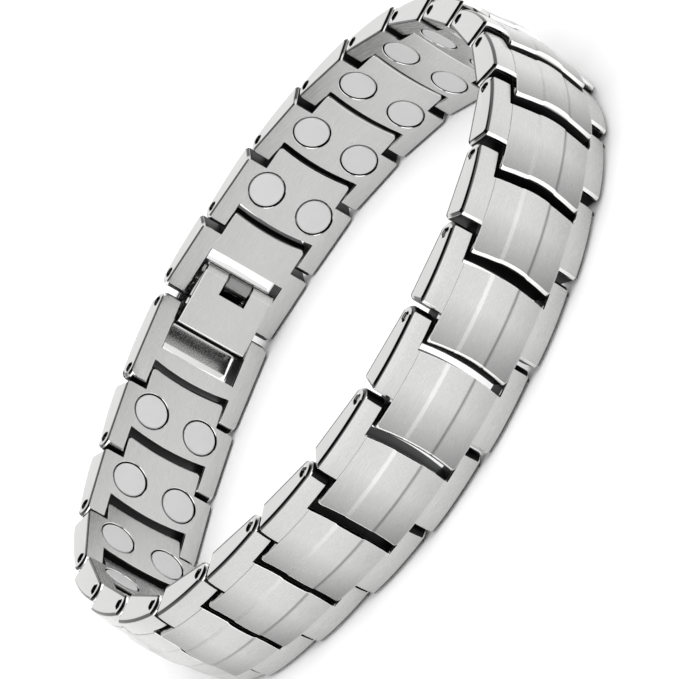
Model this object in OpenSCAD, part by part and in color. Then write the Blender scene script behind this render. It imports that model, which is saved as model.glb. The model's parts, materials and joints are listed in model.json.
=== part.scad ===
// Magnetic link bracelet, closed, lying on its side faces.
// Twenty-two steel links, two end links and a fold-over clasp are pinned into one loop.
// Units are millimetres, +Z is up, and the band's width runs along Z.
// Each piece is drawn flat: +X along the band, Y across it, +Z to the outside of the loop.

/* [Band] */
// Distance between the two pin axes of a regular link
link_pitch = 8.8; // [8.4:0.1:9.6]
// Width of the band across the side faces
band_width = 13.5; // [12.8:0.1:15]
// Width of the crowned centre block, which is also the width of the tongue
block_width = 8.9; // [8.7:0.1:9.1]
// Play on each side of the tongue between the ears of its neighbour
tongue_play = 0.15; // [0.1:0.01:0.25]
// Depth of the inner face below the pin axes
inner_depth = 1.05; // [0.95:0.01:1.2]
// Height of the centre block's ridge above the pin axes
ridge_height = 2.8; // [2.6:0.05:3.2]
// Height of the side strips above the pin axes, beside the block
strip_height = 2.2; // [2.1:0.05:2.3]

/* [Link ends] */
// Radius of the rounded ear and arm ends about their pins
nose_radius = 1.33; // [1.25:0.01:1.45]
// Reach of the ears past their pins, at the outside of the link
ear_reach = 0.95; // [0.8:0.01:1.1]
// Reach of the tongue past its pin, at the outside of the link
tongue_reach = 1.48; // [1.4:0.01:1.55]
// How much shorter the tongue is at the inner face
tongue_undercut = 0.64; // [0.4:0.02:0.66]
// Distance from the notch floor to the pin behind it
notch_depth = 2.05; // [1.95:0.01:2.2]
// Distance from a link's first pin to the shoulder behind the neighbour's ears
shoulder_offset = 1.95; // [1.85:0.01:2.2]
// How far the shoulder leans over towards the ears at the height of the strip
shoulder_lean = 0.5; // [0:0.02:0.52]
// Plan radius of the bowed notch floors and tongue ends
bow_radius = 25; // [22:1:60]
// Chamfer along the inner edges of the side faces
edge_chamfer = 0.25; // [0.1:0.05:0.35]

/* [Outer faces] */
// Radius of the arch of the links along the band
link_arch = 24; // [22:0.5:30]
// Half width of the raised rib along the centre block
rib_half = 1.28; // [1.1:0.02:1.6]
// Height of the sloping sides of the rib
rib_rise = 0.16; // [0.1:0.02:0.24]
// Width of the sloping sides of the rib
rib_run = 0.45; // [0.3:0.05:0.6]
// Crown radius of the rib across the band
rib_crown = 10.5; // [8:0.5:13.5]
// Fall of the flanks from the rib to the edge of the block
flank_fall = 0.28; // [0.1:0.02:0.3]
// Crown radius of the side strips across the band
strip_crown = 9; // [8:0.5:12]
// Rounding of the outer edges of the side faces
edge_radius = 0.4; // [0.3:0.05:0.45]

/* [Pins and magnets] */
// Radius of the link pins
pin_radius = 0.46; // [0.4:0.01:0.5]
// Clearance around a pin in its bore
pin_clearance = 0.1; // [0.06:0.01:0.14]
// How far the pin ends lie below the side faces
pin_recess = 0.25; // [0.15:0.05:0.5]
// Radius of a magnet disc
magnet_radius = 1.9; // [1.7:0.01:1.9]
// Thickness of a magnet disc
magnet_thickness = 1.3; // [1:0.1:1.5]
// Clearance around a magnet in its pocket
magnet_clearance = 0.13; // [0.08:0.01:0.15]
// Clearance between a magnet and the floor of its pocket
magnet_seat = 0.12; // [0.1:0.01:0.2]
// Distance of the magnets from the centre line of the band
magnet_spread = 3.05; // [2.95:0.01:3.2]
// Distance of the magnets before the second pin of their link
magnet_setback = 4.8; // [4.6:0.05:4.9]

/* [End links] */
// Distance between the pins of the end link before the clasp
end_a_pitch = 8.5; // [8.3:0.1:9]
// Distance from the slot end of that link to its second pin
end_a_slot = 4.75; // [4.6:0.05:4.9]
// Distance between the pins of the end link after the clasp
end_b_pitch = 8.05; // [7.9:0.05:8.5]
// Distance from the first pin of that link to its slot end
end_b_slot = 4.7; // [4.5:0.05:4.8]
// Distance from the notch floor of that link to the pin behind it
end_b_notch = 1.8; // [1.7:0.01:1.9]

/* [Clasp] */
// Distance between the two clasp pins while the clasp is fastened
clasp_pitch = 3.55; // [3.4:0.05:3.8]
// Turn of the band at the first clasp pin
clasp_turn = 32; // [28:0.5:34]
// Clearance between the clasp leaves and the arms beside them
leaf_clearance = 0.25; // [0.2:0.01:0.35]
// Thickness of the lettered plate
plate_thickness = 0.9; // [0.8:0.05:1]
// Distance of the plate's lettered face from the second clasp pin
plate_drop = 1.75; // [1.7:0.05:1.8]
// Reach of the plate past the second clasp pin
plate_reach = 0.8; // [0.6:0.05:1]
// Radius of the barrel that holds the first clasp pin
barrel_radius = 1.1; // [1.05:0.05:1.2]
// Radius of the rolled end of the plate about the second clasp pin
roll_radius = 1.45; // [1.2:0.05:1.5]
// Radius of the hinge knuckles
knuckle_radius = 0.95; // [0.9:0.01:1.05]
// Distance of the hinge axis before the first clasp pin
hinge_back = 1.45; // [1.4:0.05:1.6]
// Distance of the hinge axis inside the first clasp pin
hinge_drop = 2.5; // [2.45:0.05:2.7]
// Width of the notch in the plate
notch_width = 3.2; // [2.8:0.1:3.6]
// Length of the notch in the plate, from the hinge axis
notch_length = 1.8; // [1.6:0.1:2.2]
// Play on each side of the cover's knuckle in the notch
knuckle_play = 0.15; // [0.1:0.01:0.2]
// Thickness of the web between the cover's barrel and its knuckle
web_thickness = 1.2; // [1:0.1:1.4]
// Thickness of the cover at its edges
cover_thickness = 1.1; // [1:0.05:1.2]
// Height of the cover's ridge above the first clasp pin
cover_height = 2.65; // [2.55:0.05:2.8]
// Radius of the arch of the cover along the band
cover_arch = 14; // [13:0.5:15]
// Half of the angle that the cover's arch spans
cover_span = 24; // [22:0.5:25]
// How far the hinge pin's ends lie below the sides of the plate
hinge_recess = 0.2; // [0.1:0.05:0.4]

/* [Hidden] */
$fn = 64;
arch_fn = 180;
far = 30;

// Turns of the band in degrees at the link pins 1 to 22, as the loop lies in the view
turns = [
    6.5, 20.5, 21.5, 13, 10.5, 22.5, 11.5, 5.5, 18, 17, 13.5,
    17, 12.5, 19.5, 16.5, 10.5, 11, 16, 16, 13, 17, 4.5
];
// Turn at pin 0
first_turn = 10.5;
// Heading of the first link in plan, which sets how the loop lies in the frame
start_heading = 208;

link_count = len(turns);
pin_count = link_count + 3;

// The three pins whose turns are worked out so that the loop closes, a third of it apart
first_corner = floor(pin_count / 5);
corner_step = floor(pin_count / 3);
corners = [first_corner, first_corner + corner_step, first_corner + 2 * corner_step];

// Lengths of the steps between the pins, starting at pin 0, and the turn after each
function step_length(i) =
    i < link_count ? link_pitch :
    i == link_count ? end_a_pitch :
    i == link_count + 1 ? clasp_pitch : end_b_pitch;
function step_turn(i) =
    i < link_count ? turns[i] :
    i == link_count ? clasp_turn :
    i == link_count + 1 ? 0 : first_turn;

// A rigid arc of n steps from the step at index first, drawn at its own heading 0
function arc_heading(first, n) =
    n <= 1 ? 0 : arc_heading(first, n - 1) + step_turn((first + n - 2) % pin_count);
function arc_end(first, n) =
    n == 0 ? [0, 0] :
    arc_end(first, n - 1) + step_length((first + n - 1) % pin_count)
        * [cos(arc_heading(first, n)), sin(arc_heading(first, n))];
function chord_angle(v) = atan2(v[1], v[0]);

// The three arcs between the corner pins, and the triangle of their chords
count_ab = corners[1] - corners[0];
count_bc = corners[2] - corners[1];
count_ca = pin_count - corners[2] + corners[0];
end_ab = arc_end(corners[0], count_ab);
end_bc = arc_end(corners[1], count_bc);
end_ca = arc_end(corners[2], count_ca);
function outer_turn(before, after, opposite) =
    180 - acos((before * before + after * after - opposite * opposite) / (2 * before * after));
function corner_turn(before, first, n, after, opposite) =
    outer_turn(norm(before), norm(after), norm(opposite))
        - chord_angle(after) - arc_heading(first, n) + chord_angle(before);
turn_a = corner_turn(end_ca, corners[2], count_ca, end_ab, end_bc);
turn_b = corner_turn(end_ab, corners[0], count_ab, end_bc, end_ca);
turn_c = corner_turn(end_bc, corners[1], count_bc, end_ca, end_ab);
function closed_turn(i) =
    i == corners[0] - 1 ? turn_a :
    i == corners[1] - 1 ? turn_b :
    i == corners[2] - 1 ? turn_c : step_turn(i);

// Headings of the steps and places of the pins
function heading(i) = i == 0 ? start_heading : heading(i - 1) + closed_turn(i - 1);
function pin_point(i) =
    i == 0 ? [0, 0] :
    pin_point(i - 1) + step_length(i - 1) * [cos(heading(i - 1)), sin(heading(i - 1))];
pin_points = [for (i = [0 : pin_count - 1]) pin_point(i)];

// Half widths and places across the band
half_width = band_width / 2;
half_block = block_width / 2;
pocket_half = half_block + tongue_play;
half_leaf = half_block - leaf_clearance;
pin_half = half_width - pin_recess;
bore_radius = pin_radius + pin_clearance;

// Falls of the crowned outside from the ridge, and heights as radii from the arch axis
rib_sagitta = rib_crown - sqrt(rib_crown * rib_crown - rib_half * rib_half);
flank_drop = rib_sagitta + rib_rise;
edge_drop = flank_drop + flank_fall;
strip_run = half_width - edge_radius - half_block;
strip_drop = strip_crown - sqrt(strip_crown * strip_crown - strip_run * strip_run);
strip_shelf = link_arch - strip_drop - edge_radius;
block_bow = bow_radius - sqrt(bow_radius * bow_radius - half_block * half_block);

// The clasp plate lies along the line that touches its knuckles and clears its barrel
hinge_reach = [clasp_pitch + hinge_back, hinge_drop];
plate_tilt = atan2(hinge_reach[1], hinge_reach[0])
    - asin((plate_drop - knuckle_radius) / norm(hinge_reach));
knuckle_back = sqrt(pow(norm(hinge_reach), 2) - pow(plate_drop - knuckle_radius, 2));
knuckle_low = knuckle_radius - plate_drop;
half_knuckle = notch_width / 2 - knuckle_play;

// The cover stands halfway between the headings of the two end links
cover_tilt = clasp_turn / 2;
cover_middle = clasp_pitch / 2 * cos(cover_tilt);
cover_hinge = [
    -hinge_back * cos(cover_tilt) - hinge_drop * sin(cover_tilt),
    hinge_back * sin(cover_tilt) - hinge_drop * cos(cover_tilt)
];

// Points of the ridges in plan, a degree apart along their arches, centre the loop's box
function ridge_point(pin, along, middle, top, arch, a) =
    let (
        x = middle + arch * sin(a),
        z = top - arch + arch * cos(a)
    )
    [pin[0] + x * cos(along) + z * sin(along), pin[1] + x * sin(along) - z * cos(along)];
block_middle = (link_pitch - notch_depth + block_bow - tongue_reach) / 2;
block_span = floor(asin((block_middle + tongue_reach) / link_arch));
ridge_points = concat(
    [
        for (i = [0 : link_count - 1], a = [-block_span : block_span])
            ridge_point(pin_points[i], heading(i), block_middle, ridge_height, link_arch, a)
    ],
    [
        for (a = [-cover_span : cover_span])
            ridge_point(
                pin_points[link_count + 1], heading(link_count + 1) - cover_tilt,
                cover_middle, cover_height, cover_arch, a
            )
    ]
);
loop_min = [min([for (q = ridge_points) q[0]]), min([for (q = ridge_points) q[1]])];
loop_max = [max([for (q = ridge_points) q[0]]), max([for (q = ridge_points) q[1]])];
loop_middle = (loop_min + loop_max) / 2;

steel = [0.74, 0.74, 0.73];
bright_steel = [0.82, 0.82, 0.81];
magnet_grey = [0.62, 0.62, 0.61];

// Puts a flat-drawn piece on the step at index i, with that step's first pin at its origin
module on_step(i) {
    translate([pin_points[i][0] - loop_middle[0], pin_points[i][1] - loop_middle[1], half_width])
        rotate([0, 0, heading(i)])
            rotate([90, 0, 0])
                children();
}

// A round bar across the band on the axis through x and z
module cross_bar(x, z, radius, half_length) {
    translate([x, 0, z])
        rotate([90, 0, 0])
            cylinder(r = radius, h = 2 * half_length, center = true);
}

// A side view in X and Z, run across the band from -half_length to half_length
module cross_prism(half_length) {
    translate([0, half_length, 0])
        rotate([90, 0, 0])
            linear_extrude(height = 2 * half_length)
                children();
}

// Section of a crowned leaf or block, as radius from its arch axis and place across
module crown_section(arch, inner_radius, half_span) {
    flank_radius = arch - flank_drop;
    edge = arch - edge_drop;
    union() {
        polygon([
            [inner_radius, -half_span],
            [edge, -half_span],
            [flank_radius, -rib_half - rib_run],
            [flank_radius, rib_half + rib_run],
            [edge, half_span],
            [inner_radius, half_span]
        ]);
        intersection() {
            translate([arch - rib_crown, 0])
                circle(r = rib_crown, $fn = arch_fn);
            polygon([
                [flank_radius - rib_rise, -rib_half - 2 * rib_run],
                [flank_radius + 2 * rib_rise, -rib_half + rib_run],
                [flank_radius + 2 * rib_rise, rib_half - rib_run],
                [flank_radius - rib_rise, rib_half + 2 * rib_run]
            ]);
        }
    }
}

// Half section of the side strip on the +Y side, rounded into the side face
module strip_section() {
    intersection() {
        translate([link_arch - strip_crown, half_block])
            circle(r = strip_crown, $fn = arch_fn);
        union() {
            translate([0, half_block])
                square([link_arch, strip_run]);
            translate([0, half_block])
                square([strip_shelf, half_width - half_block]);
            translate([strip_shelf, half_width - edge_radius])
                circle(r = edge_radius);
        }
    }
}

// Cross section of the band below its crowns, with the inner edges chamfered
module band_section() {
    polygon([
        [-half_width, far],
        [-half_width, edge_chamfer - inner_depth],
        [edge_chamfer - half_width, -inner_depth],
        [half_width - edge_chamfer, -inner_depth],
        [half_width, edge_chamfer - inner_depth],
        [half_width, far]
    ]);
}

// Both side strips of a link: a side view cut from two crowned wheels about its arch axis
module strips(middle) {
    for (side = [0, 1])
        mirror([0, side, 0])
            intersection() {
                translate([middle, 0, strip_height - link_arch])
                    rotate([-90, 0, 0])
                        rotate_extrude($fn = arch_fn)
                            strip_section();
                translate([-far, 0, 0])
                    rotate([90, 0, 90])
                        linear_extrude(height = 2 * far)
                            band_section();
                cross_prism(far)
                    children();
            }
}

// Side view of the strips from x to the pin at last_pin, with a leaning shoulder at the start
module shoulder_side(last_pin) {
    polygon([
        [shoulder_offset, -inner_depth],
        [last_pin, -inner_depth],
        [last_pin, strip_height],
        [shoulder_offset - shoulder_lean, strip_height]
    ]);
}

// Side view of the rounded end of the ears or arms at a pin
module nose_side(x, reach_start) {
    translate([x, 0])
        circle(r = nose_radius);
    translate([reach_start, 0])
        square([ear_reach, strip_height]);
}

// The clearance between the ears of a link for its neighbour's tongue
module tongue_pocket(notch_x) {
    translate([notch_x, -pocket_half, -far / 2])
        cube([far, 2 * pocket_half, far]);
}

// A centre block from x at its start to x at its end, crowned and arched about middle
module block(start, end, middle) {
    intersection() {
        translate([middle, 0, ridge_height - link_arch])
            rotate([90, 0, 0])
                rotate_extrude($fn = arch_fn)
                    crown_section(link_arch, 0, half_block);
        translate([start, -half_block, -inner_depth])
            cube([end - start, block_width, far]);
    }
}

// Keeps what lies before a notch floor that bows out from its corners at notch_x
module before_notch(notch_x) {
    intersection() {
        children();
        translate([notch_x + block_bow - bow_radius, 0, -far / 2])
            cylinder(r = bow_radius, h = far, $fn = arch_fn);
    }
}

// Cuts away what lies before a tongue end, which is bowed in plan and undercut to the inside
module tongue_end() {
    difference() {
        children();
        translate([block_bow - tongue_reach - bow_radius, 0, 0])
            rotate_extrude($fn = arch_fn)
                polygon([
                    [bow_radius - 2 * tongue_reach, far / 2],
                    [bow_radius - 2 * tongue_reach, -1.5 * inner_depth],
                    [bow_radius + 1.75 * tongue_undercut, -1.5 * inner_depth],
                    [bow_radius + tongue_undercut / 4, -inner_depth / 2],
                    [bow_radius, 0],
                    [bow_radius, far / 2]
                ]);
    }
}

// One regular link, with pockets for two magnets in its inner face
module regular_link() {
    notch_x = link_pitch - notch_depth;
    difference() {
        union() {
            tongue_end()
                before_notch(notch_x)
                    block(-tongue_reach, notch_x + block_bow, block_middle);
            difference() {
                strips(block_middle)
                    ear_strip_side(link_pitch);
                tongue_pocket(notch_x);
            }
        }
        cross_bar(0, 0, bore_radius, far);
        cross_bar(link_pitch, 0, bore_radius, far);
        at_magnets()
            translate([0, 0, -far])
                cylinder(
                    r = magnet_radius + magnet_clearance,
                    h = far - inner_depth + magnet_thickness + magnet_seat
                );
    }
}

// Side view of strips with a shoulder at their start and an ear or arm end at last_pin
module ear_strip_side(last_pin) {
    intersection() {
        union() {
            shoulder_side(last_pin);
            nose_side(last_pin, last_pin);
        }
        translate([-far, -inner_depth])
            square([2 * far, 2 * far]);
    }
}

// Side view of strips with an arm end at the pin at 0 and an ear end at last_pin
module two_nosed_side(last_pin) {
    intersection() {
        union() {
            translate([0, -inner_depth])
                square([last_pin, inner_depth + strip_height]);
            nose_side(0, -ear_reach);
            nose_side(last_pin, last_pin);
        }
        translate([-far, -inner_depth])
            square([2 * far, 2 * far]);
    }
}

// The two magnet places of a regular link, on the axis of each pocket
module at_magnets() {
    for (side = [-1, 1])
        translate([link_pitch - magnet_setback, side * magnet_spread, 0])
            children();
}

// The end link before the clasp: a tongue, a short block and two arms
module first_end_link() {
    slot_x = end_a_pitch - end_a_slot;
    difference() {
        union() {
            tongue_end()
                block(-tongue_reach, slot_x, block_middle);
            strips(block_middle)
                ear_strip_side(end_a_pitch);
        }
        cross_bar(0, 0, bore_radius, far);
        cross_bar(end_a_pitch, 0, bore_radius, far);
    }
}

// The end link after the clasp: two arms, a cross bar and two ears
module second_end_link() {
    notch_x = end_b_pitch - end_b_notch;
    difference() {
        union() {
            before_notch(notch_x)
                block(end_b_slot, notch_x + block_bow, end_b_pitch / 2);
            difference() {
                strips(end_b_pitch / 2)
                    two_nosed_side(end_b_pitch);
                tongue_pocket(notch_x);
            }
        }
        cross_bar(0, 0, bore_radius, far);
        cross_bar(end_b_pitch, 0, bore_radius, far);
    }
}

// The lettered plate in its own tilt, with the second clasp pin at the origin
module plate_body() {
    difference() {
        cross_prism(half_leaf)
            union() {
                translate([-knuckle_back, -plate_drop])
                    square([knuckle_back + plate_reach, plate_thickness]);
                circle(r = roll_radius);
                translate([-knuckle_back, knuckle_low])
                    circle(r = knuckle_radius);
            }
        translate([notch_length - knuckle_back - far, -notch_width / 2, -far / 2])
            cube([far, notch_width, far]);
        cross_bar(0, 0, bore_radius, far);
        cross_bar(-knuckle_back, knuckle_low, bore_radius, far);
    }
}

// The cover in its own tilt, with the first clasp pin at the origin
module cover_body() {
    difference() {
        union() {
            translate([cover_middle, 0, cover_height - cover_arch])
                rotate([90, 0, 0])
                    rotate([0, 0, 90 - cover_span])
                        rotate_extrude(angle = 2 * cover_span, $fn = arch_fn)
                            crown_section(
                                cover_arch, cover_arch - edge_drop - cover_thickness, half_leaf
                            );
            cross_bar(0, 0, barrel_radius, half_leaf);
            cross_prism(half_knuckle)
                cover_web();
        }
        cross_bar(0, 0, bore_radius, far);
        cross_bar(cover_hinge[0], cover_hinge[1], bore_radius, far);
    }
}

// Side view of the web and knuckle that carry the hinge
module cover_web() {
    translate(cover_hinge)
        circle(r = knuckle_radius);
    rotate([0, 0, atan2(cover_hinge[1], cover_hinge[0])])
        translate([0, -web_thickness / 2])
            square([norm(cover_hinge), web_thickness]);
}

module link_pin() {
    cross_bar(0, 0, pin_radius, pin_half);
}

module link_01() {
    color(steel)
        on_step(0)
            regular_link();
}

module link_02() {
    color(steel)
        on_step(1)
            regular_link();
}

module link_03() {
    color(steel)
        on_step(2)
            regular_link();
}

module link_04() {
    color(steel)
        on_step(3)
            regular_link();
}

module link_05() {
    color(steel)
        on_step(4)
            regular_link();
}

module link_06() {
    color(steel)
        on_step(5)
            regular_link();
}

module link_07() {
    color(steel)
        on_step(6)
            regular_link();
}

module link_08() {
    color(steel)
        on_step(7)
            regular_link();
}

module link_09() {
    color(steel)
        on_step(8)
            regular_link();
}

module link_10() {
    color(steel)
        on_step(9)
            regular_link();
}

module link_11() {
    color(steel)
        on_step(10)
            regular_link();
}

module link_12() {
    color(steel)
        on_step(11)
            regular_link();
}

module link_13() {
    color(steel)
        on_step(12)
            regular_link();
}

module link_14() {
    color(steel)
        on_step(13)
            regular_link();
}

module link_15() {
    color(steel)
        on_step(14)
            regular_link();
}

module link_16() {
    color(steel)
        on_step(15)
            regular_link();
}

module link_17() {
    color(steel)
        on_step(16)
            regular_link();
}

module link_18() {
    color(steel)
        on_step(17)
            regular_link();
}

module link_19() {
    color(steel)
        on_step(18)
            regular_link();
}

module link_20() {
    color(steel)
        on_step(19)
            regular_link();
}

module link_21() {
    color(steel)
        on_step(20)
            regular_link();
}

module link_22() {
    color(steel)
        on_step(21)
            regular_link();
}

module end_link_a() {
    color(steel)
        on_step(link_count)
            first_end_link();
}

module end_link_b() {
    color(steel)
        on_step(link_count + 2)
            second_end_link();
}

module clasp_cover() {
    color(steel)
        on_step(link_count + 1)
            rotate([0, -cover_tilt, 0])
                cover_body();
}

module clasp_plate() {
    color(steel)
        on_step(link_count + 1)
            translate([clasp_pitch, 0, 0])
                rotate([0, -plate_tilt, 0])
                    plate_body();
}

module clasp_hinge_pin() {
    color(bright_steel)
        on_step(link_count + 1)
            cross_bar(-hinge_back, -hinge_drop, pin_radius, half_leaf - hinge_recess);
}

module pin_00() {
    color(bright_steel)
        on_step(0)
            link_pin();
}

module pin_01() {
    color(bright_steel)
        on_step(1)
            link_pin();
}

module pin_02() {
    color(bright_steel)
        on_step(2)
            link_pin();
}

module pin_03() {
    color(bright_steel)
        on_step(3)
            link_pin();
}

module pin_04() {
    color(bright_steel)
        on_step(4)
            link_pin();
}

module pin_05() {
    color(bright_steel)
        on_step(5)
            link_pin();
}

module pin_06() {
    color(bright_steel)
        on_step(6)
            link_pin();
}

module pin_07() {
    color(bright_steel)
        on_step(7)
            link_pin();
}

module pin_08() {
    color(bright_steel)
        on_step(8)
            link_pin();
}

module pin_09() {
    color(bright_steel)
        on_step(9)
            link_pin();
}

module pin_10() {
    color(bright_steel)
        on_step(10)
            link_pin();
}

module pin_11() {
    color(bright_steel)
        on_step(11)
            link_pin();
}

module pin_12() {
    color(bright_steel)
        on_step(12)
            link_pin();
}

module pin_13() {
    color(bright_steel)
        on_step(13)
            link_pin();
}

module pin_14() {
    color(bright_steel)
        on_step(14)
            link_pin();
}

module pin_15() {
    color(bright_steel)
        on_step(15)
            link_pin();
}

module pin_16() {
    color(bright_steel)
        on_step(16)
            link_pin();
}

module pin_17() {
    color(bright_steel)
        on_step(17)
            link_pin();
}

module pin_18() {
    color(bright_steel)
        on_step(18)
            link_pin();
}

module pin_19() {
    color(bright_steel)
        on_step(19)
            link_pin();
}

module pin_20() {
    color(bright_steel)
        on_step(20)
            link_pin();
}

module pin_21() {
    color(bright_steel)
        on_step(21)
            link_pin();
}

module pin_22() {
    color(bright_steel)
        on_step(22)
            link_pin();
}

module pin_23() {
    color(bright_steel)
        on_step(23)
            link_pin();
}

module pin_24() {
    color(bright_steel)
        on_step(24)
            link_pin();
}

module magnets() {
    color(magnet_grey)
        for (i = [0 : link_count - 1])
            on_step(i)
                at_magnets()
                    translate([0, 0, -inner_depth])
                        cylinder(r = magnet_radius, h = magnet_thickness);
}

link_01();
link_02();
link_03();
link_04();
link_05();
link_06();
link_07();
link_08();
link_09();
link_10();
link_11();
link_12();
link_13();
link_14();
link_15();
link_16();
link_17();
link_18();
link_19();
link_20();
link_21();
link_22();
end_link_a();
end_link_b();
clasp_cover();
clasp_plate();
clasp_hinge_pin();
pin_00();
pin_01();
pin_02();
pin_03();
pin_04();
pin_05();
pin_06();
pin_07();
pin_08();
pin_09();
pin_10();
pin_11();
pin_12();
pin_13();
pin_14();
pin_15();
pin_16();
pin_17();
pin_18();
pin_19();
pin_20();
pin_21();
pin_22();
pin_23();
pin_24();
magnets();
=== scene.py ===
# %% [markdown]
# # A magnetic link bracelet
# The bracelet is a closed loop of pinned steel links that lies on its side faces. The
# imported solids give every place, so the first step loads them and keeps their box.

# %% Load the solids
import json
import math

import bmesh
import bpy
from mathutils import Matrix, Vector

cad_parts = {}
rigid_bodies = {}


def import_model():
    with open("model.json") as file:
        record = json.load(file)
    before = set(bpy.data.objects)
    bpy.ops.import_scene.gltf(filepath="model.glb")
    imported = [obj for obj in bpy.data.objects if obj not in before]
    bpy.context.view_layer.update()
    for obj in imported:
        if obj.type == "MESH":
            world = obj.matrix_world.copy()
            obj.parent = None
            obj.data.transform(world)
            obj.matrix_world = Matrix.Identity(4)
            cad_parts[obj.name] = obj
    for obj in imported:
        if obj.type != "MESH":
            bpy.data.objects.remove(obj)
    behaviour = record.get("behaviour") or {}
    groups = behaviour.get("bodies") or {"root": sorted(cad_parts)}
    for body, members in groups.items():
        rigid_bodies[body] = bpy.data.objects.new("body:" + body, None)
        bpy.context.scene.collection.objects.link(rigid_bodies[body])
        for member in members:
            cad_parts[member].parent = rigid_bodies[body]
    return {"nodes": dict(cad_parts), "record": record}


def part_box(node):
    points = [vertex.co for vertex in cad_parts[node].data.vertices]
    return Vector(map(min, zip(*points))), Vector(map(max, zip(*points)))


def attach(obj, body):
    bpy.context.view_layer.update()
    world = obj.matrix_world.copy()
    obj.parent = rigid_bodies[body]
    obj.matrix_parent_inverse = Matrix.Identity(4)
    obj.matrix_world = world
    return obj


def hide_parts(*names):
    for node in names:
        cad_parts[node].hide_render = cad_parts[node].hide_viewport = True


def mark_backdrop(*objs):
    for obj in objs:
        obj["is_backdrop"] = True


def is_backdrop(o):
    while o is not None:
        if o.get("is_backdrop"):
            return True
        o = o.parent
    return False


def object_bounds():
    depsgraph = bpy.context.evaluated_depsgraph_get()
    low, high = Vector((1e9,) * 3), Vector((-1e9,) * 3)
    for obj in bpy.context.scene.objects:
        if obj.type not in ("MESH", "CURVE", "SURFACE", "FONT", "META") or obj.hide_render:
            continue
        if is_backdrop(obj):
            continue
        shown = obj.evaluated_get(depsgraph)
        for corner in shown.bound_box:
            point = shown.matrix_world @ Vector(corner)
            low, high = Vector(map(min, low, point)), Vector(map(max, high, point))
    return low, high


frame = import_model()
cad_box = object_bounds()
record_slots = [entry["slot"] for entry in frame["record"]["materials"]]
print("nodes:", len(frame["nodes"]), "slots:", record_slots)

# %% [markdown]
# ## Where the links are
# Every link turns on two pins. The solids of the pins give their places, so a link's own
# axes come from its two pins: X runs along the band, Y across it and Z to the outside.

# %% Pin places and headings
MM = 0.001
LINK_COUNT = 22
PIN_COUNT = LINK_COUNT + 3


def middle_of(node):
    """The middle of a node's box."""
    low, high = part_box(node)
    return (low + high) / 2


pins = [middle_of(f"pin_{i:02d}") for i in range(PIN_COUNT)]
low_side, high_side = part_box("link_01")
band_width = high_side.z - low_side.z
half_width = band_width / 2


def step_matrix(first, second):
    """The place of a flat-drawn piece whose first pin is at first and points to second."""
    along = (second - first).normalized()
    across = Vector((0.0, 0.0, 1.0))
    outside = along.cross(across)
    turn = Matrix((along, across, outside)).transposed().to_4x4()
    return Matrix.Translation(first) @ turn


steps = [step_matrix(pins[i], pins[(i + 1) % PIN_COUNT]) for i in range(PIN_COUNT)]
pitch = (pins[1] - pins[0]).length
print(f"pitch {pitch / MM:.2f} mm, band width {band_width / MM:.2f} mm")

# %% [markdown]
# ## The camera
# The photo was taken from far away with a long lens, a little above the loop, and the
# camera was rolled, so that the band stands on a slant. The camera is aimed at the middle
# of the loop and then rolled about its own view.

# %% Camera
VIEW_AZIMUTH = math.radians(-94.057)
VIEW_ELEVATION = math.radians(19.877)
VIEW_ROLL = math.radians(60.183)
VIEW_DISTANCE = 442.54 * MM
LENS_MM = 233.8
AIM = Vector((0.392, 1.752, 4.824)) * MM


def add_camera():
    """Makes the camera from its azimuth, elevation, roll and distance."""
    back = Vector((
        math.cos(VIEW_ELEVATION) * math.cos(VIEW_AZIMUTH),
        math.cos(VIEW_ELEVATION) * math.sin(VIEW_AZIMUTH),
        math.sin(VIEW_ELEVATION),
    ))
    data = bpy.data.cameras.new("view_camera")
    data.lens = LENS_MM
    data.sensor_width = 36.0
    data.clip_start = 0.05
    data.clip_end = 20.0
    camera = bpy.data.objects.new("view_camera", data)
    bpy.context.scene.collection.objects.link(camera)
    look = back.to_track_quat("Z", "Y").to_matrix().to_4x4()
    roll = Matrix.Rotation(-VIEW_ROLL, 4, "Z")
    camera.matrix_world = Matrix.Translation(AIM + back * VIEW_DISTANCE) @ look @ roll
    bpy.context.scene.camera = camera
    return camera


camera = add_camera()
print("camera at", [round(v, 4) for v in camera.location])

# %% [markdown]
# ## Small helpers for node trees
# A shader is arithmetic on sockets. This class wraps one socket, so that the expressions
# in Python add the Math nodes by themselves.

# %% Shader maths


class Socket:
    """A socket of a node tree that takes part in Python expressions."""

    def __init__(self, tree, link):
        self.tree = tree
        self.link = link

    def _math(self, operation, *values):
        return self.tree.node(
            "ShaderNodeMath", {"operation": operation}, dict(enumerate(values))
        )[0]

    def __add__(self, other):
        return self._math("ADD", self, other)

    def __radd__(self, other):
        return self._math("ADD", other, self)

    def __sub__(self, other):
        return self._math("SUBTRACT", self, other)

    def __rsub__(self, other):
        return self._math("SUBTRACT", other, self)

    def __mul__(self, other):
        return self._math("MULTIPLY", self, other)

    def __rmul__(self, other):
        return self._math("MULTIPLY", other, self)

    def clamp(self, low, high, to_low=0.0, to_high=1.0):
        """Maps low..high to to_low..to_high and stops at both ends."""
        return self.tree.node(
            "ShaderNodeMapRange", {"clamp": True},
            {0: self, 1: low, 2: high, 3: to_low, 4: to_high},
        )[0]


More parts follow.
